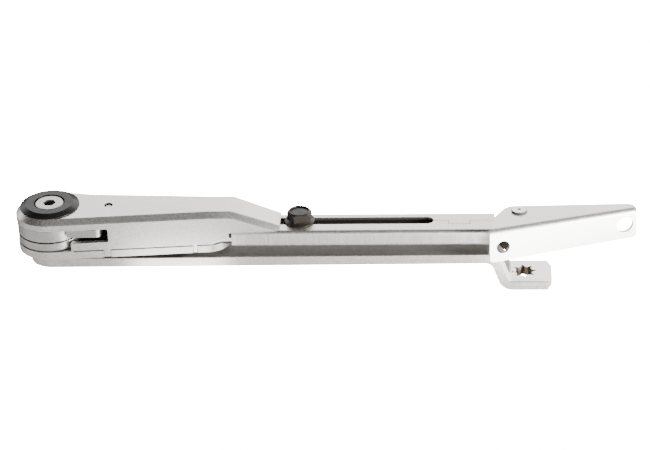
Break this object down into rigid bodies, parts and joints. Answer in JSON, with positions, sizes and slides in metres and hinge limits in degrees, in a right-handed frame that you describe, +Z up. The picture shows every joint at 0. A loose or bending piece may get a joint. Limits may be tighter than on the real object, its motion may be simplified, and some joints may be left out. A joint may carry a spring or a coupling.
{
  "type": "door closer hold-open arm",
  "caption": "Folded hold-open arm for an overhead door closer: cranked flat main arm, cast elbow with detent, slotted telescoping rail and a hinged frame bracket.",
  "frame": {"origin": "centre of the star-shaped spindle socket on the underside of the main arm's tab", "axes": "+X along the main arm from the elbow towards the tab, +Z up along the spindle and elbow axes, +Y away from the viewer"},
  "size_m": [0.3707, 0.0436, 0.0558],
  "materials": {
    "bar_silver": "satin silver coating on flat bar",
    "zinc_steel": "bright zinc plated steel",
    "disc_steel": "polished hardened steel",
    "dark_ring": "dark bronzed steel",
    "cast_silver": "satin silver coating on a casting",
    "rail_silver": "satin silver coating on folded sheet",
    "bracket_silver": "satin silver coating on folded sheet",
    "black_oxide": "black oxide",
    "bronze_bush": "plain bearing bronze"
  },
  "bodies": {
    "main_arm": {"main_arm_bar": "bar_silver", "elbow_pin": "zinc_steel", "lower_spacer": "zinc_steel", "lower_disc_washer": "zinc_steel", "upper_disc_washer": "zinc_steel", "index_disc": "disc_steel", "cam_disc": "disc_steel", "disc_spring": "zinc_steel", "clamp_ring": "dark_ring", "clamp_screw": "zinc_steel"},
    "forearm": {"elbow_housing": "cast_silver", "lower_plate": "bar_silver", "lower_bush": "bronze_bush", "upper_bush": "bronze_bush", "guide_pin": "zinc_steel", "spring_block": "zinc_steel", "housing_screws": "black_oxide", "rail": "rail_silver", "rail_rivets": "zinc_steel"},
    "detent": {"detent_slider": "disc_steel", "detent_springs": "zinc_steel"},
    "push_rod": {"push_rod": "bar_silver", "eye_bush": "bronze_bush", "lock_bolt": "black_oxide"},
    "bracket": {"frame_bracket": "bracket_silver", "pivot_rivet": "zinc_steel", "pivot_washer": "zinc_steel"}
  },
  "joints": [
    {"name": "elbow", "type": "hinge", "parent": "main_arm", "child": "forearm", "pos_m": [-0.2835, 0, 0.04], "axis": [0, 0, 1], "range_deg": [-175, 175]},
    {"name": "detent_slide", "type": "slide", "parent": "forearm", "child": "detent", "axis": [1, 0, 0], "range_m": [0, 0.0012], "stiffness_N_per_m": 1500, "springref_m": -0.002},
    {"name": "rod_slide", "type": "slide", "parent": "forearm", "child": "push_rod", "axis": [1, 0, 0], "range_m": [-0.002, 0.075]},
    {"name": "bracket_pivot", "type": "hinge", "parent": "push_rod", "child": "bracket", "pos_m": [-0.003, 0.0017, 0.035], "axis": [0, 0, 1], "range_deg": [-20, 150]}
  ]
}
